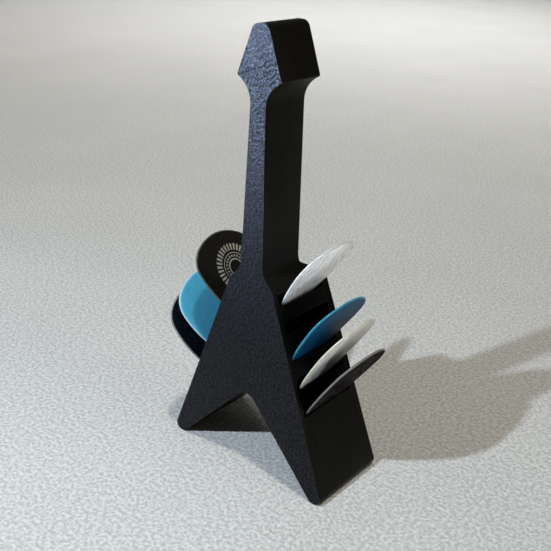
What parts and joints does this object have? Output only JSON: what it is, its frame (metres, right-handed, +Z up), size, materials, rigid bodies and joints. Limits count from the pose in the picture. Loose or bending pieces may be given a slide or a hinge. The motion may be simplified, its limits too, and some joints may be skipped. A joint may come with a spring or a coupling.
{
  "type": "pick holder",
  "caption": "Desk stand shaped like a V guitar that holds flat guitar picks in slanted slots along both wings.",
  "frame": {"origin": "on the floor, under the middle of the whole object's bounding box", "axes": "+Z up, -Y out of the front face, +X to the right seen from the front"},
  "size_m": [0.0661, 0.0305, 0.1286],
  "materials": {
    "holder_plastic": "printed PLA, fine grain on the front face, faint layer lines on the sides",
    "pearl": "pearl celluloid, polished",
    "blue": "polished, lighter towards the rim",
    "ivory": "polished",
    "smoke": "dark translucent, polished",
    "ring_print_black": "black with a printed pale ring",
    "light_blue": "satin",
    "black": "polished, pale rim"
  },
  "bodies": {
    "holder": {"holder_body": "holder_plastic"},
    "pearl_pick": {"pick_pearl": "pearl"},
    "right_blue_pick": {"pick_blue_right": "blue"},
    "ivory_pick": {"pick_ivory": "ivory"},
    "smoke_pick": {"pick_smoke": "smoke"},
    "ring_pick": {"pick_ring_print": "ring_print_black"},
    "left_blue_pick": {"pick_blue_left": "light_blue"},
    "black_pick": {"pick_black": "black"}
  },
  "joints": [
    {"name": "pearl_pick_out", "type": "slide", "parent": "holder", "child": "pearl_pick", "axis": [0.5299, 0, 0.848], "range_m": [0, 0.02]},
    {"name": "right_blue_pick_out", "type": "slide", "parent": "holder", "child": "right_blue_pick", "axis": [0.515, 0, 0.8572], "range_m": [0, 0.02]},
    {"name": "ivory_pick_out", "type": "slide", "parent": "holder", "child": "ivory_pick", "axis": [0.515, 0, 0.8572], "range_m": [0, 0.02]},
    {"name": "smoke_pick_out", "type": "slide", "parent": "holder", "child": "smoke_pick", "axis": [0.5388, 0, 0.8425], "range_m": [0, 0.02]},
    {"name": "ring_pick_out", "type": "slide", "parent": "holder", "child": "ring_pick", "axis": [-0.5664, 0, 0.8241], "range_m": [0, 0.02]},
    {"name": "left_blue_pick_out", "type": "slide", "parent": "holder", "child": "left_blue_pick", "axis": [-0.5764, 0, 0.8171], "range_m": [0, 0.02]},
    {"name": "black_pick_out", "type": "slide", "parent": "holder", "child": "black_pick", "axis": [-0.5807, 0, 0.8141], "range_m": [0, 0.02]}
  ]
}
